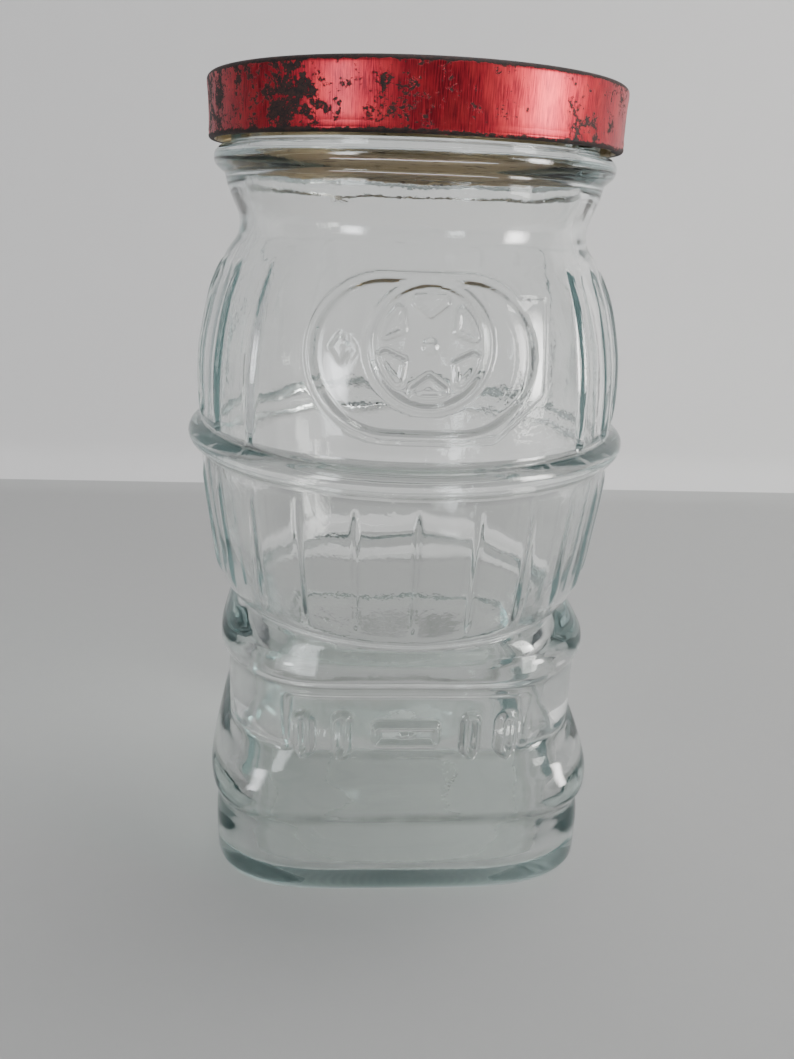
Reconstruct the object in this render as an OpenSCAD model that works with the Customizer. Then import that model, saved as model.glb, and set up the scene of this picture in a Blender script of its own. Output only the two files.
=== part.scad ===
// Coin bank jar shaped like a pot-bellied stove: clear glass, with a twist-off metal lid.
// Millimetres. +Z is up, -Y is the stove's front, and the origin is the middle of the base.

/* [Overall] */
// Height from the base to the top of the closed lid
total_h = 145.4; // [145.2:0.1:145.6]
// Thickness of the glass in the walls
glass_wall = 2.8; // [2.4:0.1:3.2]
// Thickness of the glass floor
floor_t = 4.6; // [4:0.1:5.5]

/* [Lid] */
// Outside diameter of the lid
lid_d = 73; // [72.9:0.05:73.1]
// Height of the lid's skirt and top together
lid_h = 10.2; // [10.1:0.05:10.3]
// Thickness of the tinplate
sheet_t = 0.3; // [0.25:0.05:0.35]
// Depth of the dished middle of the lid's top
dish_depth = 0.8; // [0.6:0.1:0.9]
// Radius of the dished middle
dish_r = 28.6; // [28:0.1:28.8]
// Length of the coin slot
slot_l = 34; // [32:0.5:38]
// Width of the coin slot
slot_w = 4.8; // [4.4:0.1:5.2]
// Thickness of the seal in the lid's channel
seal_t = 1; // [0.9:0.05:1.1]

/* [Neck finish] */
// Outside radius of the glass wall that the lid covers
finish_r = 32.75; // [32.5:0.05:32.9]
// Inside radius of the mouth
mouth_r = 29.4; // [29:0.1:29.8]
// Radius to the crest of the thread ramps
crest_r = 34.4; // [34.2:0.05:34.5]
// Number of thread ramps on the glass, and of lugs in the lid
starts = 4; // [3, 4]
// Angle that one thread ramp spans
ramp_angle = 66; // [60:1:68]
// Tilt of the ramps, which is the lid's climb as it turns
ramp_tilt = 3; // [2.9:0.05:3.1]

/* [Belly] */
// Largest radius of the upper belly, between its ribs
belly_r = 39.4; // [39:0.1:39.6]
// Height of the upper belly's widest place
belly_z = 93; // [92.5:0.1:93.5]
// Radius of the belt to its outside
belt_r = 42; // [41.8:0.1:42.3]
// Height of the belt
belt_z = 84.4; // [84:0.1:84.8]
// Spacing of the ribs around the belly
rib_step = 15; // [7.5, 15]
// How far the ribs and the door stand out
relief = 0.8; // [0.6:0.1:1]

/* [Stove base] */
// Half width of the foot, across its flats
foot_half = 36.7; // [36.5:0.1:36.9]
// Half width of the lower roll
roll_half = 37.5; // [37.3:0.1:37.7]
// Half width of the hearth ledge
ledge_half = 35.4; // [35.2:0.1:35.6]
// Half width of the box behind the vents
box_half = 34; // [33.8:0.1:34.2]
// Half width of the recessed vent panel
panel_half = 21.7; // [21:0.1:22]

/* [Hidden] */
$fn = 96;
eps = 0.01;
fit_gap = 0.1;

// Lid levels
lid_r = lid_d / 2;
lid_z = total_h - lid_h;
lid_under = total_h - sheet_t;
lid_inner_r = lid_r - sheet_t;
seal_top = lid_under - fit_gap / 2;
seal_z = seal_top - seal_t;
rim_z = seal_z - fit_gap;
curl_r = 0.6;
lug_t = 0.7;
lug_r = 33.2;
lug_angle = 14;
lug_turn = -18;

// Thread ramps: a lug passes under one with a gap, and over the next
ramp_root_t = 1.8;
lug_top = lid_z + 1.7;
ramp_z = lug_top + fit_gap + ramp_root_t / 2;

// Belly arcs: the centre of each arc lies beyond the axis
upper_arc_r = 53.2;
lower_arc_r = 98;
lower_belly_r = 39.7;
lower_belly_z = 82;
belt_tube_r = 2.3;
bead_r = 35.75;
bead_z = 132.4;
bead_tube_r = 2.15;
waist_r = 31.5;
waist_z = 122.2;
bowl_bottom_z = 52;
bowl_bottom_r = 33;
throat_r = 30;

// Stove base: an octagon of corner centres, and the turn from one of its sides to the next
core_half = 28;
core_sides = [[23.5, 24], [32.5, 21.5]];
side_turn = 22.5;
door_z = 103.6;
door_half_w = 18.7;
door_half_h = 12.9;
door_band = 1.8;
hinge_x = 19.5;
wheel_r = 9.9;
wheel_at = [0.6, 1.9];
latch_at = [-12.9, 1.2];
panel_z = 36.6;
panel_h = 12.2;
panel_depth = 0.5;
vent_z = 34.8;
vent_relief = 0.7;

function arc(x, z, r, from, to, n) =
    [for (i = [0 : n]) let (a = from + (to - from) * i / n) [x + r * cos(a), z + r * sin(a)]];

// Radius of the upper belly and of the bowl at a height, with extra height of relief
function upper_arc(extra, from, to, n) =
    arc(belly_r - upper_arc_r, belly_z, upper_arc_r + extra, from, to, n);
function lower_arc(extra, from, to, n) =
    arc(lower_belly_r - lower_arc_r, lower_belly_z, lower_arc_r + extra, from, to, n);

// Outside of the round upper part, from the hearth to the rim, with the belt and the bead
module upper_outside() {
    rotate_extrude() {
        polygon(concat(
            [[0, bowl_bottom_z - 4], [bowl_bottom_r, bowl_bottom_z - 4], [bowl_bottom_r, bowl_bottom_z]],
            [[34.4, 53.6], [36.2, 56]],
            lower_arc(0, -14, 0, 4),
            upper_arc(0, -5, 28, 5),
            [[32.2, 119.6], [waist_r, 121.6], [31.8, 124], [33.9, 130], [finish_r, 133.6]],
            [[finish_r, rim_z - 1]],
            arc(finish_r - 1, rim_z - 1, 1, 30, 90, 2),
            [[0, rim_z]]
        ));
        translate([belt_r - belt_tube_r, belt_z]) circle(belt_tube_r);
        translate([bead_r - bead_tube_r, bead_z]) circle(bead_tube_r);
    }
}

// Hollow of the round upper part, open at the mouth
module upper_hollow() {
    waist_in = waist_r - glass_wall;
    rotate_extrude()
        polygon(concat(
            [[0, 46], [throat_r, 46], [throat_r, bowl_bottom_z]],
            lower_arc(-glass_wall, -14, -3, 3),
            upper_arc(-glass_wall, -2, 26, 4),
            [[waist_in + 1, 119], [waist_in, waist_z], [waist_in + 0.6, 125]],
            [[mouth_r + 1, 128.4], [mouth_r + 1, 131.4], [mouth_r, 135]],
            [[mouth_r, rim_z - 0.8], [mouth_r + 0.8, rim_z + eps], [0, rim_z + eps]]
        ));
}

// A squarish solid with faceted corners: each station of the profile gives [half width, height]
function side_distance(station, a) =
    let (far = max(abs(cos(a)), abs(sin(a))), near = min(abs(cos(a)), abs(sin(a))))
    station[0] - core_half + core_half * far + lookup(station[1], core_sides) * near;
function corner_point(station, a) =
    let (
        here = side_distance(station, a),
        along = (side_distance(station, a + side_turn) - here * cos(side_turn)) / sin(side_turn)
    )
    [here * cos(a) - along * sin(a), here * sin(a) + along * cos(a), station[1]];

module squarish(profile) {
    sides = 360 / side_turn;
    last = len(profile) - 1;
    polyhedron(
        points = [
            for (station = profile, i = [0 : sides - 1]) corner_point(station, i * side_turn)
        ],
        faces = concat(
            [[for (i = [0 : sides - 1]) i]],
            [
                for (k = [0 : last - 1], i = [0 : sides - 1])
                    let (next = (i + 1) % sides)
                    [k * sides + i, (k + 1) * sides + i, (k + 1) * sides + next, k * sides + next]
            ],
            [[for (i = [sides - 1 : -1 : 0]) last * sides + i]]
        )
    );
}

// Outside of the stove base: foot, pinch, roll, vented box and hearth ledge
module base_outside() {
    squarish(concat(
        arc(foot_half - 5, 5, 5, -90, 0, 4),
        [
            [foot_half - 0.1, 12], [foot_half - 0.7, 16.6], [foot_half - 0.6, 17.8],
            [roll_half - 0.5, 20], [roll_half, 23.5], [roll_half - 0.5, 26.3],
            [box_half + 1, 30], [box_half, 31.6], [box_half, 44.4],
            [ledge_half - 0.4, 46], [ledge_half, 48], [ledge_half - 0.4, 50], [33.6, 51.4]
        ]
    ));
}

// Hollow of the stove base
module base_hollow() {
    foot_in = foot_half - 4.2;
    corner_in = foot_in - core_half;
    squarish(concat(
        arc(core_half, floor_t + corner_in, corner_in, -80, 0, 3),
        [
            [foot_in + 0.6, 16], [roll_half - 3.4, 23.5], [box_half - 2.4, 31],
            [box_half - 2.6, 44], [ledge_half - 3.8, 47], [ledge_half - 4.4, 48.6]
        ]
    ));
}

// A flat outline pushed out through the front wall
module through_front(turn = 0) {
    rotate(turn)
        translate([0, -25, 0])
            rotate([90, 0, 0])
                linear_extrude(30)
                    children();
}

// The rib outlines: spindles on the upper belly and strips on the bowl
module spindle(length, width) {
    r = (length * length / 4 + width * width / 4) / width;
    intersection() {
        translate([r - width / 2, 0]) circle(r, $fn = 240);
        translate([width / 2 - r, 0]) circle(r, $fn = 240);
    }
}

// A strip with round ends
module stadium(half_w, half_h) {
    square([2 * (half_w - half_h), 2 * half_h], center = true);
    for (side = [-1, 1])
        translate([side * (half_w - half_h), 0]) circle(half_h);
}

// Frame of the fire door: a band with round ends, and a hinge bar over a cut corner
module door_frame() {
    difference() {
        union() {
            stadium(door_half_w, door_half_h);
            polygon([
                [4, 1 - door_half_h], [11.8, 0.4 - door_half_h], [hinge_x, -6],
                [hinge_x, 8.9], [hinge_x - 2.9, 9.5], [12, 0]
            ]);
        }
        stadium(door_half_w - door_band, door_half_h - door_band);
    }
}

// Draft wheel: a ring, a boss, and six petals that point to the middle
module draft_wheel() {
    difference() {
        circle(wheel_r);
        circle(wheel_r - 1.2);
    }
    for (a = [30 : 60 : 330])
        rotate(a)
            polygon([[4.2, 0], [6.4, -2.6], [7.4, -2.1], [7.9, 0], [7.4, 2.1], [6.4, 2.6]]);
    circle(1.3);
}

// The door's raised lines: its frame, its wheel and its latch
module door_lines() {
    door_frame();
    translate(wheel_at) draft_wheel();
    translate(latch_at) polygon([[-1.6, 0], [0, -2.3], [1.6, 0], [0, 2.3]]);
}

// All the relief on the upper belly, and all the ribs on the bowl
module belly_relief() {
    intersection() {
        rotate_extrude()
            polygon(concat([[28, 85]], upper_arc(relief, -7.6, 27.6, 4), [[28, 118]]));
        union() {
            translate([0, 0, door_z]) through_front() door_lines();
            for (a = [45 : rib_step : 315])
                translate([0, 0, 101.6]) through_front(a) spindle(30, 2.8);
        }
    }
    intersection() {
        rotate_extrude()
            polygon(concat([[28, 53]], lower_arc(relief / 2, -16, 0, 3), [[28, 82.5]]));
        for (a = [0 : rib_step : 345])
            translate([0, 0, 68]) through_front(a) square([1, 22], center = true);
    }
}

// The vents on the panel: four upright slots and a small draught slide
module vent_lines() {
    for (x = [-18.7, -11.9, 11.9, 18.7])
        translate([x, 0]) rotate(90) stadium(4.5, 1.8);
    square([12.5, 5], center = true);
}

// The stove base with its recessed panel, and the vents standing out of the panel
module vented_base() {
    difference() {
        base_outside();
        translate([0, -box_half, panel_z])
            cube([2 * panel_half, 2 * panel_depth, panel_h], center = true);
    }
    intersection() {
        translate([0, 0, vent_z]) through_front() vent_lines();
        translate([-25, panel_depth - vent_relief - box_half, vent_z - 10])
            cube([50, 10, 20]);
    }
}

// Thread ramps: level ring sectors, tilted about the radius through their middle
module thread_ramps() {
    for (i = [0 : starts - 1])
        rotate(i * 360 / starts)
            translate([0, 0, ramp_z])
                rotate([ramp_tilt, 0, 0])
                    rotate(-ramp_angle / 2)
                        rotate_extrude(angle = ramp_angle)
                            polygon([
                                [finish_r - 0.8, -ramp_root_t / 2], [crest_r, -ramp_root_t / 4],
                                [crest_r, ramp_root_t / 7], [finish_r - 0.8, ramp_root_t / 2]
                            ]);
}

module glass_jar() {
    color([0.78, 0.88, 0.86, 0.5])
        difference() {
            union() {
                upper_outside();
                vented_base();
                belly_relief();
                thread_ramps();
            }
            upper_hollow();
            base_hollow();
        }
}

// The sheet of the lid: dished top, rounded shoulder, straight skirt and a rolled bottom edge
module lid_sheet() {
    shoulder = 1;
    rotate_extrude() {
        polygon(concat(
            [[0, lid_under - dish_depth], [dish_r, lid_under - dish_depth], [dish_r + 1, lid_under]],
            [[lid_inner_r - 0.7, lid_under], [lid_inner_r, lid_under - 0.7], [lid_inner_r, lid_z + curl_r]],
            [[lid_r, lid_z + curl_r]],
            arc(lid_r - shoulder, total_h - shoulder, shoulder, 0, 90, 6),
            [[dish_r + 1, total_h], [dish_r, total_h - dish_depth], [0, total_h - dish_depth]]
        ));
        translate([lid_r - curl_r, lid_z + curl_r]) circle(curl_r);
    }
}

// Lugs pressed inwards from the rolled edge, tilted as the thread ramps are
module lugs() {
    for (i = [0 : starts - 1])
        rotate(i * 360 / starts)
            translate([0, 0, lug_top - lug_t / 2])
                rotate([ramp_tilt, 0, 0])
                    rotate(lug_turn - lug_angle / 2)
                        rotate_extrude(angle = lug_angle)
                            translate([lug_r, -lug_t / 2])
                                square([lid_r - 0.8 - lug_r, lug_t]);
}

module lid() {
    color([0.72, 0.07, 0.09])
        difference() {
            union() {
                lid_sheet();
                lugs();
            }
            translate([0, 0, total_h])
                cube([slot_l, slot_w, 8], center = true);
        }
}

module seal_ring() {
    color([0.72, 0.56, 0.34])
        translate([0, 0, seal_z])
            rotate_extrude()
                translate([dish_r + 1.3, 0])
                    square([lid_inner_r - 0.9 - dish_r - 1.3, seal_t]);
}

glass_jar();
lid();
seal_ring();
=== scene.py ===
"""Looks of a coin bank jar: clear pressed glass shaped like a pot-bellied stove, with a worn red lid.

Lengths are in millimetres until a mesh is made. +Z is up, and the stove's front faces -Y.
On the jar, the angle phi starts at the front and grows towards +X.
"""

import math

import bpy
import numpy as np
from mathutils import Matrix, Vector


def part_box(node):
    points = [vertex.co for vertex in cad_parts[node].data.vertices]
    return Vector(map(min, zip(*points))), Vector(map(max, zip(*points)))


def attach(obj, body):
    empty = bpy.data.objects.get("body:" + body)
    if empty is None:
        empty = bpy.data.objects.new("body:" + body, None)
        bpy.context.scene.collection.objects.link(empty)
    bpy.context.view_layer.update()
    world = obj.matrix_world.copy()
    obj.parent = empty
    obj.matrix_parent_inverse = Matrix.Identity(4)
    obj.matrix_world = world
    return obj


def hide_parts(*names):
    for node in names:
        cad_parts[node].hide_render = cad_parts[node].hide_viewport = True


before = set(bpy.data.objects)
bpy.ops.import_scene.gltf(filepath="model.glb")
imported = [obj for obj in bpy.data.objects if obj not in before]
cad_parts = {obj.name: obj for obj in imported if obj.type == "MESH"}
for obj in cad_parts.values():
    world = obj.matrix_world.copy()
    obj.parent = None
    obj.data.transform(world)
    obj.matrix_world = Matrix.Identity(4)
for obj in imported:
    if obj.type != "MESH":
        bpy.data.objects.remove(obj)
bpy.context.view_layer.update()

MM = 0.001
jar_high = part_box("glass_jar")[1] / MM
lid_low, lid_high = (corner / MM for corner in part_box("lid"))
seal_low, seal_high = (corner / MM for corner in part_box("seal_ring"))

# Sizes that the CAD parts in model.glb give
RIM = jar_high.z
BELT_R = jar_high.x
LID_R = lid_high.x
LID_TOP = lid_high.z
LID_BOTTOM = lid_low.z

# Heights on the glass, from the floor up to the bead under the lid
UNDER_DISH = 1.1
FLOOR_TOP = 4.6
PINCH_Z = 17.0
ROLL_Z = 23.5
VENT_Z = 34.8
PANEL_Z = 36.6
BOX_TOP = 43.5
LEDGE_Z = 48.0
BOWL_Z = 68.0
BELT_Z = 84.4
RIB_Z = 101.6
DOOR_Z = 103.6
NECK_Z = 121.5
BEAD_Z = 132.4

# Half widths of the square base, and radii of the round parts
HEEL_R = 5.4
FOOT_HALF = 36.7
PINCH_HALF = 36.0
ROLL_HALF = 37.5
BOX_HALF = 34.0
LEDGE_HALF = 35.4
BELT_TUBE = 2.3
NECK_R = 31.55
FINISH_R = 32.75
LIP = 1.1
MOUTH_R = 29.4

# The vent box's squareness, and a distance of the corner cuts at which they take nothing off
SHARP = 16.0
FAR_CUT = 130.0

# Grooves where shade is painted into the glass colour: height, half width and how dark the painted shade is
SHADED_GROOVES = ((18.6, 2.1, 1.0), (31.0, 1.0, 0.35), (44.6, 1.2, 0.6), (82.0, 1.4, 1.0), (86.6, 0.9, 0.5))

# Waves of the uneven glass: turns round the jar, climb, start and share
WAVES = (
    (3, 0.11, 0.6, 1.0), (7, -0.23, 2.1, 0.8), (12, 0.31, 4.0, 0.6), (19, -0.52, 1.3, 0.5),
    (5, 0.83, 5.2, 0.4),
)


# ---------------------------------------------------------------- shape helpers
def curve(stations, counts):
    """Points on a smooth curve (Catmull-Rom) through the stations. counts gives the steps in each span."""
    p = np.array(stations, float)
    p = np.vstack([p[0], p, p[-1]])
    out = []
    for i, n in enumerate(counts):
        a, b, c, d = p[i : i + 4]
        for t in np.arange(n) / n:
            bend = (2 * a - 5 * b + 4 * c - d) * t**2 + (3 * b - a - 3 * c + d) * t**3
            out.append(0.5 * (2 * b + (c - a) * t + bend))
    out.append(p[-2])
    return out


def arc(r, z, radius, start, end, n):
    """n + 1 points on an arc, as [r, z]. Angles are in degrees, from the outward direction."""
    a = np.radians(np.linspace(start, end, n + 1))
    return [[r + radius * math.cos(t), z + radius * math.sin(t)] for t in a]


def round_rows(points):
    """Rows of a round part: half width, height, squareness, and distance of the corner cuts."""
    return [[r, z, 2.0, FAR_CUT] for r, z in points]


def outline(rows, phi):
    """Radius at every row and column: a circle where squareness is 2, and a squarish outline above that."""
    half, _, square, cut = (rows[:, k : k + 1] for k in range(4))
    s, c = np.abs(np.sin(phi)), np.abs(np.cos(phi))
    corner = np.where(square > 2.001, (s + c) / (math.sqrt(2) * cut), 0)
    return ((s / half) ** square + (c / half) ** square + corner**square) ** (-1 / square)


def smooth_step(t):
    """0 up to t = 0 and 1 from t = 1 on, with a soft rise between."""
    t = np.clip(t, 0, 1)
    return t * t * (3 - 2 * t)


def raised(distance, soft):
    """1 well inside a shape and 0 outside, from the signed distance to its edge."""
    return smooth_step(0.5 - distance / (2 * soft))


def ridge(distance, half_width):
    """A rounded line along distance 0."""
    return np.clip(1 - (distance / half_width) ** 2, 0, 1) ** 1.5


def rounded_box(x, z, half_x, half_z, radius):
    """Signed distance to the edge of a box with round corners."""
    qx = np.abs(x) - half_x + radius
    qz = np.abs(z) - half_z + radius
    outside = np.hypot(np.maximum(qx, 0), np.maximum(qz, 0))
    return outside + np.minimum(np.maximum(qx, qz), 0) - radius


def repeated(angle, count):
    """The angle from the nearest of count directions that are spread evenly round a circle."""
    step = 2 * math.pi / count
    return (angle + step / 2) % step - step / 2


def band_faces(first, rows, columns):
    """Four-sided faces between the rows of a grid that closes on itself sideways."""
    faces = []
    for k in range(rows - 1):
        a = first + k * columns
        b = a + columns
        faces += [(a + i, a + (i + 1) % columns, b + (i + 1) % columns, b + i) for i in range(columns)]
    return faces


def closed_skin(rings):
    """Points and faces of a ring-shaped skin, where the last ring of points joins the first."""
    n = len(rings[0])
    faces = []
    for k in range(len(rings)):
        a, b = k * n, ((k + 1) % len(rings)) * n
        faces += [(a + i, a + (i + 1) % n, b + (i + 1) % n, b + i) for i in range(n)]
    return np.vstack(rings), faces


def mesh_piece(name, vertices, faces, materials, body, node, face_material=None):
    """A smooth-shaded mesh piece that rides on a body and stands for a CAD node."""
    mesh = bpy.data.meshes.new(name)
    mesh.from_pydata((np.asarray(vertices) * MM).tolist(), [], faces)
    for material in materials:
        mesh.materials.append(material)
    if face_material is not None:
        mesh.polygons.foreach_set("material_index", face_material)
    mesh.polygons.foreach_set("use_smooth", [True] * len(mesh.polygons))
    mesh.update()
    piece = bpy.data.objects.new(name, mesh)
    bpy.context.scene.collection.objects.link(piece)
    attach(piece, body)
    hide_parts(node)
    return piece


# ---------------------------------------------------------------- the glass: its sections
def column_angles():
    """Angles of the jar's columns from the front, closest together over the door and the vents."""
    half = [0.0]
    for end, count in ((30, 54), (100, 74), (180, 40)):
        half += list(np.linspace(half[-1], end, count + 1)[1:])
    return np.radians(half + [-a for a in half[-2:0:-1]])[None, :]


def base_rows():
    """Rows of the squarish base: dished underside, heel, foot, pinch, roll, vent box, ledge and shelf."""
    underside = [
        [r, UNDER_DISH * (1 - smooth_step((r - 8) / 20)), 2 + 2.4 * (r / 31) ** 2, FAR_CUT]
        for r in [2, 6, 10, 14, 18, 21, 23.5, 25.5, 27, 28.2, 29.4, 30.6]
    ]
    heel = [
        [r, z, 4.4 + 0.2 * z, FAR_CUT] for r, z in arc(FOOT_HALF - HEEL_R, HEEL_R, HEEL_R, -84, 0, 7)
    ]
    foot_and_roll = curve(
        [
            [FOOT_HALF, HEEL_R, 5.5, FAR_CUT], [FOOT_HALF - 0.05, 12, 5.6, FAR_CUT],
            [PINCH_HALF + 0.3, PINCH_Z - 1.6, 5.6, 120], [PINCH_HALF, PINCH_Z, 5.6, 112],
            [PINCH_HALF + 0.1, PINCH_Z + 0.9, 5.6, 104], [ROLL_HALF - 0.6, ROLL_Z - 3.9, 5.6, 92],
            [ROLL_HALF - 0.15, ROLL_Z - 2.3, 5.6, 84], [ROLL_HALF, ROLL_Z, 5.6, 75],
            [ROLL_HALF - 0.4, ROLL_Z + 2.7, 6, 58], [36.2, 28.4, 7.4, 50], [35.0, 30.1, 9, 44],
            [BOX_HALF + 0.15, 31.0, 12, 41.2], [BOX_HALF, 32, 14, 40.4], [BOX_HALF, 33, SHARP, 40.2],
        ],
        [3, 3, 3, 3, 4, 3, 3, 3, 3, 3, 3, 2, 2],
    )
    box = curve([[BOX_HALF, 33, SHARP, 40.2], [BOX_HALF, BOX_TOP, SHARP, 40.2]], [30])
    ledge = curve(
        [
            [BOX_HALF, BOX_TOP, SHARP, 40.2], [BOX_HALF + 0.1, BOX_TOP + 1.1, SHARP, 40.2],
            [LEDGE_HALF - 0.6, LEDGE_Z - 2.5, SHARP, 40.5], [LEDGE_HALF - 0.15, LEDGE_Z - 1.5, SHARP, 40.8],
            [LEDGE_HALF, LEDGE_Z, SHARP, 41], [LEDGE_HALF - 0.3, LEDGE_Z + 1.6, SHARP, 40.6],
            [LEDGE_HALF - 1.2, LEDGE_Z + 2.6, SHARP, 39.8],
        ],
        [2, 3, 3, 3, 3, 3],
    )
    shelf = [[33.7, 51.0, 9, 38.5], [33.4, 51.2, 4, 42], [33.1, 51.3, 2.0, FAR_CUT]]
    return underside + heel[:-1] + foot_and_roll[:-1] + box[:-1] + ledge + shelf


def outside_rows():
    """Rows up the outside of the jar, from the middle of the underside to the rim."""
    bowl = curve(
        [
            [33.0, 51.6], [33.6, 52.3], [34.8, 53.3], [36.4, 56], [37.5, 60], [38.1, 65],
            [38.7, 70], [39.2, 74.5], [39.6, 79], [39.75, BELT_Z - 2.6],
        ],
        [1, 2, 3, 3, 3, 2, 2, 2, 3],
    )
    belt = arc(BELT_R - BELT_TUBE, BELT_Z, BELT_TUBE, -84, 84, 12)
    belly = curve(
        [
            [39.5, BELT_Z + 2.6], [39.4, 89], [39.4, 92.3], [39.2, 98], [38.6, 102.5], [37.6, 107],
            [36.6, 110.5], [35.4, 113.5], [34.1, 116.5], [33.4, NECK_Z - 3.8],
        ],
        [2, 5, 15, 12, 12, 9, 8, 8, 3],
    )
    neck = curve(
        [
            [33.4, NECK_Z - 3.8], [32.6, NECK_Z - 2.7], [31.9, NECK_Z - 1.6], [NECK_R, NECK_Z],
            [NECK_R + 0.15, NECK_Z + 1.8], [32.5, 125.4], [33.5, 128], [33.9, BEAD_Z - 2.5],
        ],
        [1, 2, 2, 2, 2, 2, 2],
    )
    bead = arc(33.6, BEAD_Z, 2.15, -70, 86, 11)
    finish = curve([[FINISH_R, BEAD_Z + 2.5], [FINISH_R, RIM - 1.3]], [19])
    lip = arc(FINISH_R - LIP, RIM - LIP, LIP, 10, 90, 5)
    round_part = bowl + belt[1:-1] + belly[:-1] + neck + bead[1:] + finish[:-1] + lip
    return np.array(base_rows() + round_rows(round_part))


def inside_rows():
    """Rows down the inside of the jar, from the rim to the middle of the floor."""
    mouth = [[MOUTH_R + 0.9, RIM - 0.05], [MOUTH_R + 0.3, RIM - 0.5], [MOUTH_R, RIM - 1.4]]
    neck_and_belly = curve(
        [
            [MOUTH_R, 140], [MOUTH_R, 135], [30.3, 131.4], [30.4, 128.4], [29.3, 125], [28.7, 121.8],
            [29.6, 118.6], [31.8, 114.6], [34.2, 108.6], [35.7, 102], [36.5, 95], [36.8, 88],
            [36.9, 82], [36.5, 75], [35.7, 67], [34.5, 60], [32.6, 54.5],
        ],
        [1, 3, 2, 2, 2, 2, 2, 2, 2, 2, 1, 1, 1, 1, 2, 2],
    )
    base = curve(
        [
            [30.6, 51.2, 2.2, FAR_CUT], [30.8, 49, 3, 60], [31.4, 46.8, 5, 44], [31.3, 43, 6, 40],
            [31.4, 34, 6, 39], [32.8, 29.6, 5.2, 48], [34.0, ROLL_Z, 5.2, 70], [32.8, 16.5, 5.2, 110],
            [32.7, 8.6, 5.2, FAR_CUT], [31.8, 5.4, 4.8, FAR_CUT], [29.6, FLOOR_TOP - 0.6, 4.2, FAR_CUT],
            [25, FLOOR_TOP - 0.8, 3.5, FAR_CUT], [16, FLOOR_TOP - 0.3, 2.6, FAR_CUT],
            [5, FLOOR_TOP, 2.0, FAR_CUT],
        ],
        [1, 1, 2, 2, 2, 2, 2, 2, 2, 2, 1, 2, 2],
    )
    return np.array(round_rows(mouth + neck_and_belly) + base)


# ---------------------------------------------------------------- the glass: its relief
def wheel_relief(x, z):
    """The door's draught wheel, from its middle: a ring, a boss, and six petals that point to the boss."""
    ring_r, petal_r, petal_half, boss_r = 9.3, 7.8, 2.8, 1.3
    from_hub = np.hypot(x, z)
    turn = repeated(np.arctan2(x, z), 6)
    along, across = from_hub * np.cos(turn), np.abs(from_hub * np.sin(turn))
    petal = np.maximum(from_hub - petal_r, (4.1 + across * 0.75 - along) * 0.8)
    petal = np.maximum(petal, across - petal_half)
    petals = 0.35 * raised(petal, 0.4) + 0.4 * ridge(petal + 0.3, 0.6)
    boss = 0.6 * np.sqrt(np.clip(1 - (from_hub / boss_r) ** 2, 0, 1))
    return np.maximum(np.maximum(0.8 * ridge(from_hub - ring_r, 1.0), petals), boss)


def door_relief(x, z):
    """The fire door: a frame with round ends and a hinge bar, a draught wheel, and a latch."""
    end_x, end_r, band = 5.8, 12.9, 2.0
    hinge_low_x, hinge_x, hinge_top = 8.0, 19.5, 9.2
    z = z - DOOR_Z
    from_spine = np.hypot(np.maximum(np.abs(x) - end_x, 0), z)
    cut_corner = (x - 11.8) * 0.65 - (z + 12.5) * 0.76
    hinge = np.maximum(np.maximum(x - hinge_x, -z - 12.7), cut_corner)
    hinge = np.maximum(np.maximum(hinge, z - hinge_top), hinge_low_x - x)
    outer = np.minimum(from_spine - end_r, hinge)
    inner = from_spine - (end_r - band)
    relief = 0.8 * raised(np.maximum(outer + 0.3, 0.3 - inner), 0.5)
    relief = np.maximum(relief, wheel_relief(x - 0.6, z - 1.9))
    latch = np.abs(x + 12.9) * 0.82 + np.abs(z - 1.2) * 0.57 - 1.3
    return np.maximum(relief, 0.7 * raised(latch, 0.45))


def vent_relief(x, z):
    """The recessed vent panel, with four upright slots and a small draught slide in raised rims."""
    panel = rounded_box(x, z - PANEL_Z, 21.7, 6.1, 1.0)
    low = z - VENT_Z
    vents = [rounded_box(x - middle, low, 1.8, 4.5, 1.8) for middle in (-18.7, -11.85, 11.85, 18.7)]
    vents.append(rounded_box(x, low, 6.2, 2.5, 1.2))
    relief = -0.55 * raised(panel, 0.5)
    for vent in vents:
        relief = relief + 0.25 * raised(vent, 0.3) + 0.85 * ridge(vent + 0.7, 0.85)
    knobs = np.minimum(np.hypot(x - 0.7, low), np.hypot(x + 0.7, low)) - 0.6
    return relief + 0.6 * raised(knobs, 0.4)


def rib_relief(phi, radius, z):
    """Spindle-shaped ribs round the upper belly, except at the door, and fine ribs round the bowl."""
    rib_count, rib_half, rib_reach, bowl_rib_reach = 24, 1.85, 15.4, 10.6
    offset = repeated(phi, rib_count) * radius
    clear_of_door = np.abs(phi) > math.radians(37.5)
    taper = np.clip(1 - ((z - RIB_Z) / rib_reach) ** 2, 0.0001, 1)
    spindle = np.clip(1 - (offset / (rib_half * taper)) ** 2, 0, 1) ** 1.6
    relief = np.where(clear_of_door & (np.abs(z - RIB_Z) < rib_reach - 0.2), 0.78 * spindle, 0)
    return relief + 0.5 * ridge(offset, 0.8) * raised(np.abs(z - BOWL_Z) - bowl_rib_reach, 0.8)


def thread_relief(phi, z):
    """Four thread ramps under the lid. Each climbs 3 degrees over 66 degrees of turn."""
    turn = repeated(phi - math.pi / 2, 4)
    middle = lid_low.z + 2.7 + FINISH_R * np.sin(turn) * math.sin(math.radians(3))
    bar = np.clip(1 - ((z - middle) / 0.95) ** 2, 0, 1) ** 0.7
    return 1.55 * bar * smooth_step((math.radians(33.5) - np.abs(turn)) * 18)


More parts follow.
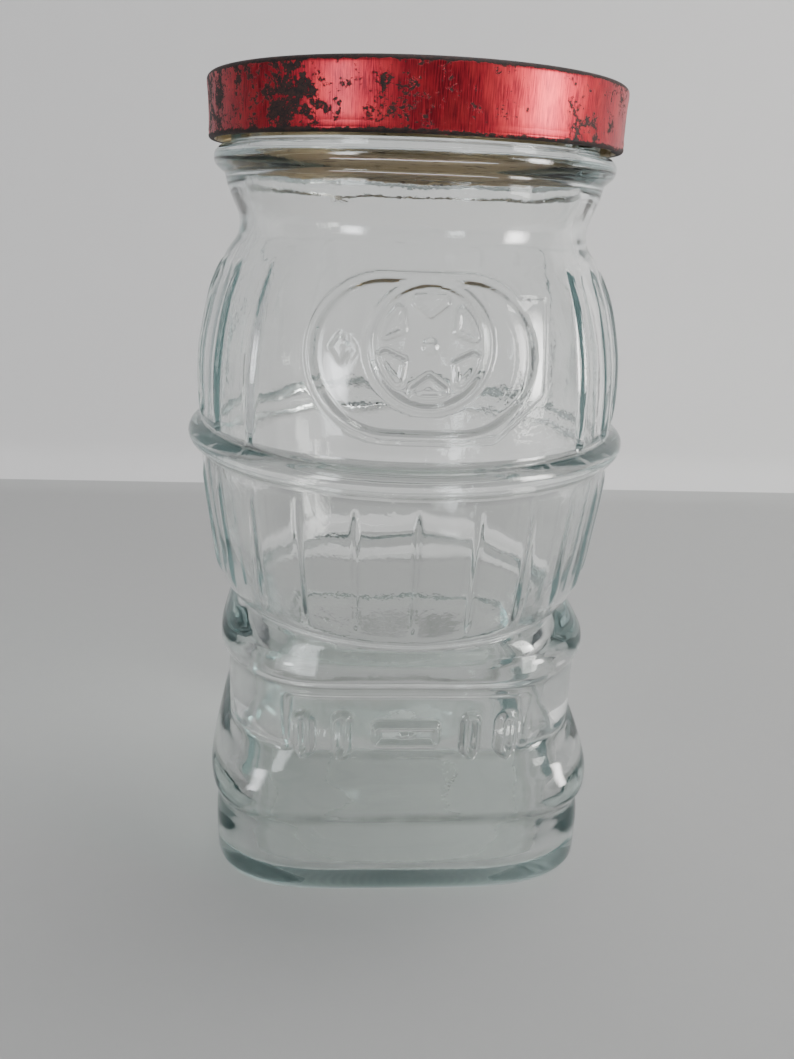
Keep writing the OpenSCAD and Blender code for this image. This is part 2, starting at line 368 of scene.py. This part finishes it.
def moulded_relief(rows, phi, radius):
    """How far the moulded detail stands out from the plain outside, at every row and column."""
    z = rows[:, 1:2]
    x = radius * np.sin(phi)
    front = np.abs(phi) < math.radians(45)
    belly = (z > BELT_Z + 2) & (z < 118.5)
    bowl = (z > 52) & (z < BELT_Z - 2)
    vent_box = (z > 29) & (z < 44) & (rows[:, 0:1] > 33)
    finish = (z > 135) & (z < RIM - 0.6)
    relief = np.where(front & belly, door_relief(x, z), 0)
    relief += np.where(front & vent_box, vent_relief(x, z), 0)
    relief += np.where(belly | bowl, rib_relief(phi, radius, z), 0)
    return relief + np.where(finish, thread_relief(phi, z), 0)


def wobble(phi, z, size):
    """Slow unevenness that hot glass keeps from the mould."""
    return size * sum(share * np.sin(turns * phi + climb * z + start) for turns, climb, start, share in WAVES)


def painted_relief_shade(rows, phi, radius, relief):
    """How much painted shade darkens each point: beside the relief, in the grooves, and round the heel."""
    z = rows[:, 1:2]
    step = np.gradient(z, axis=0)
    step = np.where(np.abs(step) < 0.01, 0.01, step)
    steep_up = np.gradient(relief, axis=0) / step
    steep_round = np.gradient(relief, axis=1) / (radius * np.gradient(np.unwrap(phi), axis=1))
    # Painted shade along the steep sides of the relief
    steep = 0.58 * smooth_step((np.hypot(steep_up, steep_round) - 0.15) / 1.1)
    outer_wall = rows[:, 0:1] > 30
    grooves = sum(dark * ridge(z - height, half) * outer_wall for height, half, dark in SHADED_GROOVES)
    # Painted shadow round the heel, where the jar stands on the floor
    heel = 0.45 * smooth_step((2.5 - z) / 1.5) * (rows[:, 0:1] > 31.5)
    return np.clip(steep + grooves + heel, 0, 1)


# ---------------------------------------------------------------- the glass: its mesh
def jar_points(rows, phi, relief):
    """Points of a grid of rows and columns, as an array [row, column, xyz]."""
    radius = outline(rows, phi) + relief
    z = np.broadcast_to(rows[:, 1:2], radius.shape)
    return np.stack([radius * np.sin(phi), -radius * np.cos(phi), z], axis=-1)


def outside_skin(rows, phi):
    """Points of the outside, knurled where the jar stands, and the painted shade on them."""
    z = rows[:, 1:2]
    half = rows[:, 0:1]
    threads_from, knurls = 133, 96
    radius = outline(rows, phi)
    relief = moulded_relief(rows, phi, radius)
    # Painted shade on the glass, carried with the points
    grime_and_shade = painted_relief_shade(rows, phi, radius, np.where(z > threads_from, 0, relief))
    fade = smooth_step((z - 3) / 6) * smooth_step((threads_from - z) / 8)
    points = jar_points(rows, phi, relief + wobble(phi, z, 0.025) * fade)
    knurl = 0.5 - 0.5 * np.cos(phi * knurls)
    ring = smooth_step((half - 24.5) / 1.5) * smooth_step((32 - half) / 1.5) * (z < 1.2)
    points[:, :, 2] += 0.06 * ring * knurl
    points[:, :, 2] = np.maximum(points[:, :, 2], 0)
    return points, grime_and_shade


def inside_skin(rows, phi):
    """Points of the inside, which is uneven in the belly only."""
    z = rows[:, 1:2]
    fade = smooth_step((z - 34) / 20) * smooth_step((130 - z) / 8)
    return jar_points(rows, phi, wobble(phi + 0.9, z * 0.8, 0.04) * fade)


def glass_mesh():
    """One closed skin: up the outside and down the inside, where every second column goes on."""
    phi = column_angles()
    rows, inner_rows = outside_rows(), inside_rows()
    outside, grime_and_shade = outside_skin(rows, phi)
    inside = inside_skin(inner_rows, phi[:, ::2])
    n, m = outside.shape[1], inside.shape[1]
    rim = (len(rows) - 1) * n
    inner_start = rim + n
    last_inner = inner_start + (len(inner_rows) - 1) * m
    under = last_inner + m
    floor = under + 1
    poles = [[0, 0, rows[0, 1]], [0, 0, inner_rows[-1, 1]]]
    points = np.vstack([outside.reshape(-1, 3), inside.reshape(-1, 3), poles])
    grime_and_shade = np.concatenate([grime_and_shade.ravel(), np.zeros(len(points) - grime_and_shade.size)])

    faces = band_faces(0, len(rows), n)
    for j in range(m):
        i, after = 2 * j, (2 * j + 2) % n
        here, there = inner_start + j, inner_start + (j + 1) % m
        faces += [(rim + i, rim + i + 1, here), (rim + i + 1, rim + after, there, here)]
    faces += band_faces(inner_start, len(inner_rows), m)
    faces += [(under, (i + 1) % n, i) for i in range(n)]
    faces += [(floor, last_inner + j, last_inner + (j + 1) % m) for j in range(m)]
    return points, faces, grime_and_shade


# ---------------------------------------------------------------- the lid and its seal
LID_COLUMNS = 288
SHEET = 0.3
SHOULDER_R = 1.0
CURL_R = 0.6
CURL_STEPS = 16
DISH = 0.8
DISH_R = 28.6
FLAT_R = 27.0
SLOT_HALF = (17.0, 2.4)
SLOT_SQUARENESS = 5.0
LUGS = 4
LUG_MIDDLE = math.radians(-18)
LUG_REACH = 33.3
LUG_TILT = math.radians(3)
GOLD_CURL_ROWS = 6


def slot_ring(grow):
    """The coin slot's outline, one point for each column, as [x, y]."""
    half_x, half_y = SLOT_HALF[0] + grow, SLOT_HALF[1] + grow
    phi = np.linspace(0, 2 * math.pi, LID_COLUMNS, endpoint=False)
    across = (np.abs(np.cos(phi)) / half_x) ** SLOT_SQUARENESS
    along = (np.abs(np.sin(phi)) / half_y) ** SLOT_SQUARENESS
    reach = (across + along) ** (-1 / SLOT_SQUARENESS)
    edge = np.stack([reach * np.cos(phi), reach * np.sin(phi)], axis=-1)
    lengths = np.linalg.norm(np.roll(edge, -1, 0) - edge, axis=1)
    run = np.concatenate([[0], np.cumsum(lengths)])
    closed = np.vstack([edge, edge[:1]])
    even = np.linspace(0, run[-1], LID_COLUMNS, endpoint=False)
    return np.stack([np.interp(even, run, closed[:, k]) for k in range(2)], axis=-1)


def slot_rows(unit, rows):
    """Rings of points round the slot. Each row gives the growth, the height and the share of a circle."""
    rings = []
    for grow, z, share in rows:
        xy = slot_ring(grow) * (1 - share) + unit * FLAT_R * share
        rings.append(np.column_stack([xy, np.full(LID_COLUMNS, z)]))
    return rings


def lid_outer_profile():
    """The outside of the sheet, as [radius, height]: dished panel, shoulder, skirt and rolled edge."""
    top = LID_TOP
    panel = [
        [FLAT_R, top - DISH], [DISH_R - 0.5, top - DISH], [DISH_R, top - DISH + 0.08],
        [DISH_R + 0.5, top - DISH / 2], [DISH_R + 1, top - 0.08], [DISH_R + 1.6, top], [33, top],
    ]
    skirt = curve(
        [
            [LID_R, top - 1.6], [LID_R - 0.12, top - 3.6],
            [LID_R - 0.12, LID_BOTTOM + 2.6], [LID_R - 0.03, LID_BOTTOM + 1.5],
        ],
        [3, 5, 3],
    )
    shoulder = arc(LID_R - SHOULDER_R, top - SHOULDER_R, SHOULDER_R, 90, 0, 7)
    return panel + shoulder + skirt + arc(LID_R - CURL_R, LID_BOTTOM + CURL_R, CURL_R, 30, -200, CURL_STEPS)


def lid_inner_profile():
    """The inside of the sheet, as [radius, height], from above the rolled edge to the dished panel."""
    inner_r, under = LID_R - SHEET, LID_TOP - SHEET
    return [
        [inner_r - 0.15, LID_BOTTOM + 1.7], [inner_r - 0.15, LID_BOTTOM + 2.6], [inner_r - 0.15, under - 2.4],
        [inner_r, under - 1.0], [inner_r - 0.3, under - 0.25], [inner_r - 0.9, under],
        [DISH_R + 1.7, under], [DISH_R + 1.1, under - 0.1], [DISH_R + 0.6, under - DISH / 2],
        [DISH_R + 0.1, under - DISH + 0.08], [DISH_R - 0.4, under - DISH], [FLAT_R, under - DISH],
    ]


def press_lugs(rings, profile, phi, unit):
    """Push the rolled edge inwards at the lugs, which climb with the thread ramps."""
    turn = repeated(phi - LUG_MIDDLE, LUGS)
    press = smooth_step((math.radians(8.5) - np.abs(turn)) / math.radians(2.5))
    quarter = math.pi / 2
    from_lug = phi - np.round((phi - LUG_MIDDLE) / quarter) * quarter
    climb = np.sin(from_lug) * LID_R * math.sin(LUG_TILT)
    for ring, (r, z) in zip(rings, profile):
        inward = np.clip((LID_R - 0.55 - r) / 0.7, 0, 1)
        lug_r = LUG_REACH + (r - (LID_R - 1.2))
        ring[:, :2] = unit * (r + (lug_r - r) * press * inward)[:, None]
        ring[:, 2] += press * inward * (1.05 + climb * 0.9 - 0.35 * (z - LID_BOTTOM) / 1.2)


def lid_mesh():
    """One closed skin of thin sheet: from the slot over the top, round the rolled edge and back inside."""
    phi = np.linspace(0, 2 * math.pi, LID_COLUMNS, endpoint=False)
    unit = np.stack([np.cos(phi), np.sin(phi)], axis=-1)
    outer = lid_outer_profile()
    profile = np.array(outer + lid_inner_profile())
    rings = [np.column_stack([unit * r, np.full(LID_COLUMNS, z)]) for r, z in profile]
    curl = slice(len(outer) - CURL_STEPS - 1, len(outer) + 2)
    press_lugs(rings[curl], profile[curl], phi, unit)

    dish = LID_TOP - DISH
    under_dish = dish - SHEET
    opening = slot_rows(unit, (
        (0, dish - 0.55, 0), (0.02, dish - 0.3, 0), (0.12, dish - 0.1, 0), (0.35, dish, 0),
        (0.8, dish, 0.02), (1.2, dish, 0.15), (1.2, dish, 0.4), (1.2, dish, 0.7),
    ))
    closing = slot_rows(unit, (
        (1.2, under_dish, 0.7), (1.2, under_dish, 0.4), (1.2, under_dish, 0.15), (0.8, under_dish, 0.02),
        (0.5, under_dish - 0.02, 0), (0.33, dish - 0.45, 0), (0.25, dish - 0.55, 0),
    ))
    points, faces = closed_skin(opening + rings + closing)
    faces = [(a, d, c, b) for a, b, c, d in faces]
    first_gold = (len(opening) + len(outer) - GOLD_CURL_ROWS) * LID_COLUMNS
    return points, faces, [int(k >= first_gold) for k in range(len(faces))]


def seal_mesh():
    """The seal: a flowed-in ring with soft shoulders and a faint groove where the rim presses."""
    low, high = seal_low.z, seal_high.z
    inner_r, outer_r = 29.9, seal_high.x
    columns = 192
    top = [
        [outer_r - 0.02, high - 0.25], [outer_r - 0.25, high - 0.02], [outer_r - 0.6, high],
        [inner_r + 0.8, high], [inner_r + 0.25, high - 0.05], [inner_r, high - 0.3],
    ]
    bottom = [
        [inner_r + 0.05, low + 0.45], [inner_r + 0.35, low + 0.12], [inner_r + 0.8, low + 0.02],
        [inner_r + 1.3, low + 0.12], [inner_r + 2.0, low + 0.2], [inner_r + 2.7, low + 0.12],
        [inner_r + 3.3, low], [outer_r - 0.9, low + 0.02], [outer_r - 0.3, low + 0.15],
        [outer_r, low + 0.45],
    ]
    phi = np.linspace(0, 2 * math.pi, columns, endpoint=False)
    return closed_skin([
        np.column_stack([r * np.cos(phi), r * np.sin(phi), np.full(columns, z)]) for r, z in top + bottom
    ])


# ---------------------------------------------------------------- materials
class Nodes:
    """A short way to build the node tree of a material, or of a lamp."""

    def __init__(self, name, lamp=None):
        self.owner = lamp or bpy.data.materials.new(name)
        self.owner.use_nodes = True
        self.tree = self.owner.node_tree
        self.tree.nodes.clear()
        self.out = self.new("OutputLight" if lamp else "OutputMaterial")

    def new(self, kind):
        return self.tree.nodes.new("ShaderNode" + kind)

    def put(self, socket, value):
        if isinstance(value, bpy.types.NodeSocket):
            self.tree.links.new(value, socket)
        else:
            socket.default_value = value

    def math(self, operation, a, b=0.0):
        node = self.new("Math")
        node.operation = operation
        self.put(node.inputs[0], a)
        self.put(node.inputs[1], b)
        return node.outputs[0]

    def ramp(self, value, low, high, start=0.0, end=1.0):
        """value from low to high becomes start to end, smoothly."""
        node = self.new("MapRange")
        node.interpolation_type = "SMOOTHSTEP"
        names = ("Value", "From Min", "From Max", "To Min", "To Max")
        for key, setting in zip(names, (value, low, high, start, end)):
            self.put(node.inputs[key], setting)
        return node.outputs["Result"]

    def mix(self, share, a, b):
        node = self.new("Mix")
        node.data_type = "RGBA"
        self.put(node.inputs["Factor"], share)
        self.put(node.inputs["A"], a)
        self.put(node.inputs["B"], b)
        return node.outputs["Result"]

    def noise(self, vector, scale, detail=3.0, rough=0.5):
        node = self.new("TexNoise")
        self.put(node.inputs["Vector"], vector)
        node.inputs["Scale"].default_value = scale
        node.inputs["Detail"].default_value = detail
        node.inputs["Roughness"].default_value = rough
        return node.outputs["Fac"]

    def mapped(self, vector, scale, location=(0, 0, 0)):
        node = self.new("Mapping")
        self.put(node.inputs["Vector"], vector)
        node.inputs["Scale"].default_value = scale
        node.inputs["Location"].default_value = location
        return node.outputs["Vector"]

    def bump(self, height, strength, distance):
        node = self.new("Bump")
        self.put(node.inputs["Height"], height)
        node.inputs["Strength"].default_value = strength
        node.inputs["Distance"].default_value = distance
        return node.outputs["Normal"]

    def place(self):
        return self.new("TexCoord").outputs["Object"]

    def split(self, vector):
        node = self.new("SeparateXYZ")
        self.put(node.inputs[0], vector)
        return node.outputs

    def join(self, x, y, z):
        node = self.new("CombineXYZ")
        for socket, value in zip(node.inputs, (x, y, z)):
            self.put(socket, value)
        return node.outputs[0]

    def from_axis(self, x, y):
        """Distance from the jar's axis."""
        return self.math("SQRT", self.math("ADD", self.math("MULTIPLY", x, x), self.math("MULTIPLY", y, y)))

    def principled(self, **inputs):
        node = self.new("BsdfPrincipled")
        for key, value in inputs.items():
            self.put(node.inputs[key.replace("_", " ")], value)
        return node.outputs["BSDF"]

    def surface(self, shader):
        self.tree.links.new(shader, self.out.inputs["Surface"])
        return self.owner


def glass_skin(n):
    """The surface of the glass: fire-polished with slow ripples, a rough contact ring, and painted shade."""
    place = n.place()
    x, y, z = n.split(place)
    ripple = n.noise(n.mapped(place, (1, 1, 0.6)), 75.0, 2.0, 0.5)
    peel = n.noise(place, 900.0, 2.0, 0.5)
    smear = n.noise(n.mapped(place, (1, 1, 0.35)), 60.0, 4.0, 0.6)
    patch = n.ramp(n.noise(place, 34.0, 3.0, 0.6), 0.4, 0.75, 0.02, 0.14)
    uneven_skin = n.math("ADD", ripple, n.math("MULTIPLY", peel, patch))
    calm_floor = n.ramp(z, 0.005, 0.014, 0.15, 1.0)
    normal = n.bump(n.math("MULTIPLY", uneven_skin, calm_floor), 0.28, 0.0009)

    at_underside = n.ramp(z, 0.0006, 0.0014, 0.3, 0.0)
    inside_heel = n.ramp(n.from_axis(x, y), 0.03, 0.032, 1.0, 0.0)
    stipple = n.math("MULTIPLY", at_underside, inside_heel)
    rough = n.math("ADD", n.ramp(smear, 0.48, 0.74, 0.0, 0.13), stipple)

    # Painted shade: grey darkening beside the relief, in the grooves, round the heel, and over the lower jar
    grime_and_shade = n.new("Attribute")
    grime_and_shade.attribute_name = "grime_and_shade"
    patchy_painted_shade = n.math("MULTIPLY", grime_and_shade.outputs["Fac"], n.ramp(smear, 0.3, 0.6, 0.5, 1.0))
    painted_low_shade = n.ramp(z, 0.047, 0.062, 0.1, 0.0)
    painted_shade_mix = n.math("ADD", patchy_painted_shade, painted_low_shade)
    colour = n.mix(painted_shade_mix, (0.972, 0.976, 0.97, 1), (0.3, 0.315, 0.3, 1))
    return n.principled(
        Base_Color=colour, Roughness=rough, IOR=1.5, Transmission_Weight=1.0, Normal=normal
    )


def glass_material():
    """Soda glass with a faint green-blue body.

    Shadow rays pass straight through, and so does light that is trapped in thick glass, with a dull tint.
    """
    n = Nodes("pressed_glass")
    volume = n.new("VolumeAbsorption")
    volume.inputs["Color"].default_value = (0.4, 0.8, 0.75, 1)
    volume.inputs["Density"].default_value = 6.0
    n.put(n.out.inputs["Volume"], volume.outputs[0])
    path = n.new("LightPath")
    trapped = n.math("GREATER_THAN", path.outputs["Glossy Depth"], 3.5)
    clear = n.new("BsdfTransparent")
    n.put(clear.inputs["Color"], n.mix(trapped, (0.92, 0.94, 0.93, 1), (0.58, 0.665, 0.665, 1)))
    lets_light_through = n.new("MixShader")
    n.put(lets_light_through.inputs[0], n.math("MAXIMUM", path.outputs["Is Shadow Ray"], trapped))
    n.put(lets_light_through.inputs[1], glass_skin(n))
    n.put(lets_light_through.inputs[2], clear.outputs[0])
    return n.surface(lets_light_through.outputs[0])


def lid_wear(n, place, x, height, on_skirt):
    """Where the lacquer is scuffed off, and the fine noise of the flakes.

    Most of the wear is on the left and along both edges of the skirt. The extra wear on the left is partly
    real scuffing and partly painted shade that darkens that side.
    """
    scuff = n.noise(n.mapped(place, (1, 1, 1.15)), 330.0, 7.0, 0.7)
    flakes = n.noise(n.mapped(place, (1, 1, 1.3), (0.31, 0.17, 0)), 1300.0, 5.0, 0.7)
    patchy = n.noise(n.mapped(place, (1, 1, 0.8), (0.7, 0.2, 0)), 100.0, 2.0, 0.5)
    # Real wear and painted shade: more dark bare patches towards the lid's left side
    left = n.math("MULTIPLY", n.ramp(x, -0.026, 0.011, 0.066, 0.0), n.ramp(on_skirt, 0.0, 1.0, 0.35, 1.0))
    fine = n.math("ADD", n.math("MULTIPLY", scuff, 0.6), n.math("MULTIPLY", flakes, 0.4))
    worn = n.math("ADD", n.math("ADD", fine, left), n.math("MULTIPLY", n.math("SUBTRACT", patchy, 0.5), 0.28))
    top_edge = n.math("MULTIPLY", n.ramp(height, 0.91, 0.97, 0.0, 0.3), on_skirt)
    low_edge = n.ramp(height, 0.09, 0.02, 0.0, 0.16)
    worn = n.math("ADD", worn, n.math("ADD", top_edge, low_edge))
    specks = n.ramp(n.noise(place, 2400.0, 3.0, 0.7), 0.6, 0.66, 0.0, 0.03)
    return n.ramp(n.math("ADD", worn, specks), 0.553, 0.58), flakes


def lacquer_material():
    """Red lacquer over bright tinplate: fine rolling streaks, rust-dark scuffs, edges worn bare, and a left
    side darkened partly by painted shade.
    """
    n = Nodes("red_lacquer")
    place = n.place()
    x, y, z = n.split(place)
    angle = n.math("ARCTAN2", x, n.math("MULTIPLY", y, -1.0))
    height = n.math("DIVIDE", n.math("SUBTRACT", z, LID_BOTTOM * MM), (LID_TOP - LID_BOTTOM) * MM)
    on_skirt = n.ramp(n.from_axis(x, y), (LID_R - 1.6) * MM, (LID_R - 0.5) * MM)
    # The bare mask also holds the painted shade on the lid's left side
    bare, flakes = lid_wear(n, place, x, height, on_skirt)

    # Rolling streaks: upright on the skirt, and straight across the top
    skirt_place = n.join(n.math("MULTIPLY", angle, 180.0), n.math("MULTIPLY", z, 300.0), 0.0)
    upright = n.noise(skirt_place, 1.0, 3.0, 0.6)
    across = n.noise(n.mapped(place, (120.0, 4500.0, 0.0)), 1.0, 3.0, 0.6)
    streaks = n.math(
        "ADD", n.math("MULTIPLY", upright, on_skirt),
        n.math("MULTIPLY", across, n.math("SUBTRACT", 1.0, on_skirt)),
    )
    cloud = n.noise(n.mapped(place, (1, 1, 0.6), (0.1, 0.9, 0)), 380.0, 3.0, 0.55)
    red = n.mix(n.ramp(streaks, 0.32, 0.68), (0.16, 0.012, 0.021, 1), (0.53, 0.026, 0.042, 1))
    red = n.mix(n.ramp(cloud, 0.42, 0.68, 0.0, 0.45), red, (0.64, 0.05, 0.056, 1))
    rust = n.mix(n.ramp(flakes, 0.4, 0.65), (0.01, 0.006, 0.006, 1), (0.045, 0.016, 0.012, 1))
    rough = n.math("ADD", n.ramp(bare, 0.0, 1.0, 0.36, 0.62), n.math("MULTIPLY", streaks, 0.1))
    relief = n.math("SUBTRACT", n.math("MULTIPLY", streaks, 0.2), n.math("MULTIPLY", bare, 0.6))
    shader = n.principled(
        Base_Color=n.mix(bare, red, rust), Metallic=n.ramp(bare, 0.0, 1.0, 0.85, 0.25), Roughness=rough,
        Coat_Weight=n.ramp(bare, 0.0, 1.0, 0.08, 0.0), Coat_Roughness=0.2,
        Normal=n.bump(relief, 0.4, 0.0002),
    )
    return n.surface(shader)


def gold_material():
    """The gold varnish inside the lid, with dull spots."""
    n = Nodes("gold_varnish")
    place = n.place()
    spots = n.noise(place, 300.0, 4.0, 0.6)
    cloud = n.noise(place, 60.0, 2.0, 0.5)
    colour = n.mix(n.ramp(cloud, 0.35, 0.7), (0.33, 0.235, 0.13, 1), (0.5, 0.38, 0.23, 1))
    colour = n.mix(n.ramp(spots, 0.58, 0.68), colour, (0.12, 0.07, 0.035, 1))
    rough = n.ramp(spots, 0.4, 0.7, 0.35, 0.6)
    normal = n.bump(spots, 0.15, 0.0001)
    return n.surface(n.principled(Base_Color=colour, Metallic=0.7, Roughness=rough, Normal=normal))


def seal_material():
    """Dull cream sealing compound, slightly pitted and grubby."""
    n = Nodes("sealing_compound")
    place = n.place()
    pits = n.noise(place, 500.0, 4.0, 0.6)
    grime_and_shade = n.noise(place, 90.0, 3.0, 0.6)
    colour = n.mix(n.ramp(grime_and_shade, 0.4, 0.7), (0.62, 0.52, 0.36, 1), (0.4, 0.3, 0.18, 1))
    rough = n.ramp(grime_and_shade, 0.3, 0.7, 0.5, 0.75)
    return n.surface(n.principled(Base_Color=colour, Roughness=rough, Normal=n.bump(pits, 0.3, 0.00015)))


def plain_material(name, colour, rough, grain):
    """A pale studio surface with a faint grain."""
    n = Nodes(name)
    speck = n.noise(n.place(), grain, 3.0, 0.6)
    shade = n.mix(speck, tuple(c * 0.97 for c in colour) + (1,), colour + (1,))
    return n.surface(n.principled(Base_Color=shade, Roughness=rough, Normal=n.bump(speck, 0.1, 0.0003)))


# ---------------------------------------------------------------- floor, backdrop and light
def sweep_backdrop():
    """A table top whose back edge meets a pale wall in a soft curve. Lengths are in metres."""
    table_front, table_back, bend = -1.2, 0.235, 0.02
    wall_top = side = 1.6
    bend_steps = 8
    profile = [[table_front, 0], [table_back - bend, 0]]
    for a in np.radians(np.linspace(-90, 0, bend_steps + 1)[1:]):
        profile.append([table_back - bend + bend * math.cos(a), bend + bend * math.sin(a)])
    profile.append([table_back, wall_top])
    points, faces, material = [], [], []
    for y, z in profile:
        points += [(-side, y, z), (side, y, z)]
    for k in range(len(profile) - 1):
        faces.append((2 * k, 2 * k + 1, 2 * k + 3, 2 * k + 2))
        material.append(int(k > bend_steps // 2 - 1))
    mesh = bpy.data.meshes.new("studio")
    mesh.from_pydata(points, [], faces)
    mesh.materials.append(plain_material("pale_table", (0.4, 0.4, 0.395), 0.7, 260.0))
    mesh.materials.append(plain_material("pale_wall", (0.68, 0.67, 0.67), 0.85, 90.0))
    mesh.polygons.foreach_set("material_index", material)
    mesh.polygons.foreach_set("use_smooth", [True] * len(mesh.polygons))
    studio = bpy.data.objects.new("studio", mesh)
    bpy.context.scene.collection.objects.link(studio)


def fade_to_edges(lamp):
    """Make a lamp's face bright in its middle and dim at its edges, like a curtained window."""
    n = Nodes(lamp.name, lamp)
    u, v, _ = n.split(n.new("NewGeometry").outputs["Parametric"])
    glow = 1.0
    for along in (u, v):
        from_middle = n.math("ABSOLUTE", n.math("SUBTRACT", along, 0.5))
        glow = n.math("MULTIPLY", glow, n.ramp(from_middle, 0.1, 0.5, 1.0, 0.0))
    emission = n.new("Emission")
    n.put(emission.inputs["Strength"], glow)
    n.surface(emission.outputs[0])


def soft_light(name, azimuth, height, distance, size, power, colour):
    """An area light that faces the jar. Azimuth is in degrees from the front, towards the right."""
    jar_middle = Vector((0, 0, 0.085))
    a = math.radians(azimuth)
    data = bpy.data.lights.new(name, "AREA")
    data.shape = "RECTANGLE"
    data.size, data.size_y = size
    data.energy = power
    data.color = colour
    fade_to_edges(data)
    light = bpy.data.objects.new(name, data)
    bpy.context.scene.collection.objects.link(light)
    light.location = (distance * math.sin(a), -distance * math.cos(a), height)
    light.rotation_euler = (jar_middle - light.location).to_track_quat("-Z", "Y").to_euler()


def world_light():
    """Dim light from all round, dark grey at the horizon and pale overhead."""
    world = bpy.data.worlds.new("studio_light")
    world.use_nodes = True
    tree = world.node_tree
    background = tree.nodes["Background"]
    split = tree.nodes.new("ShaderNodeSeparateXYZ")
    tree.links.new(tree.nodes.new("ShaderNodeTexCoord").outputs["Generated"], split.inputs[0])
    height = tree.nodes.new("ShaderNodeMapRange")
    height.interpolation_type = "SMOOTHSTEP"
    height.inputs["From Min"].default_value = 0.05
    height.inputs["From Max"].default_value = 0.9
    tree.links.new(split.outputs[2], height.inputs["Value"])
    sky = tree.nodes.new("ShaderNodeMix")
    sky.data_type = "RGBA"
    sky.inputs["A"].default_value = (0.22, 0.245, 0.255, 1)
    sky.inputs["B"].default_value = (0.86, 0.9, 0.96, 1)
    tree.links.new(height.outputs["Result"], sky.inputs["Factor"])
    tree.links.new(sky.outputs["Result"], background.inputs["Color"])
    background.inputs["Strength"].default_value = 0.4
    bpy.context.scene.world = world


def photo_camera():
    """The photograph's view: close to, looking down a little, and slightly left of square on."""
    lens = 30.707
    distance, height = 176.13, 125.2
    pitch, yaw, roll = 0.342, -0.0042, -0.038
    turn = math.radians(4.2)
    forward = Vector((math.sin(yaw) * math.cos(pitch), math.cos(yaw) * math.cos(pitch), -math.sin(pitch)))
    right = Vector((math.cos(yaw), -math.sin(yaw), 0))
    down = forward.cross(right)
    rolled_right = math.cos(roll) * right + math.sin(roll) * down
    rolled_down = -math.sin(roll) * right + math.cos(roll) * down
    axes = Matrix((rolled_right, -rolled_down, -forward)).transposed()
    stand = Matrix.Rotation(-turn, 3, "Z")
    data = bpy.data.cameras.new("camera")
    data.lens = lens
    data.sensor_width = 36
    data.clip_start = 0.01
    camera = bpy.data.objects.new("camera", data)
    bpy.context.scene.collection.objects.link(camera)
    place = stand @ Vector((0, -distance, height)) * MM
    camera.matrix_world = Matrix.Translation(place) @ (stand @ axes).to_4x4()
    bpy.context.scene.camera = camera


# ---------------------------------------------------------------- the whole scene
glass_points, glass_faces, glass_painted_shade = glass_mesh()
jar = mesh_piece(
    "jar_glass", glass_points, glass_faces, [glass_material()], "jar", "glass_jar"
)
# The painted shade goes on the glass as a point attribute
jar.data.attributes.new("grime_and_shade", "FLOAT", "POINT").data.foreach_set("value", glass_painted_shade)
lid_points, lid_faces, lid_gold = lid_mesh()
mesh_piece(
    "lid_shell", lid_points, lid_faces, [lacquer_material(), gold_material()], "lid",
    "lid", lid_gold,
)
seal_points, seal_faces = seal_mesh()
mesh_piece("seal_compound", seal_points, seal_faces, [seal_material()], "seal", "seal_ring")

sweep_backdrop()
world_light()
soft_light("window_right", 65, 0.2, 0.85, (0.3, 0.6), 23.0, (1.0, 0.98, 0.95))
soft_light("window_left", -42, 0.16, 1.0, (0.34, 0.55), 13.0, (0.95, 0.97, 1.0))
soft_light("overhead", 150, 0.95, 0.35, (1.0, 1.0), 34.0, (1.0, 1.0, 1.0))
photo_camera()
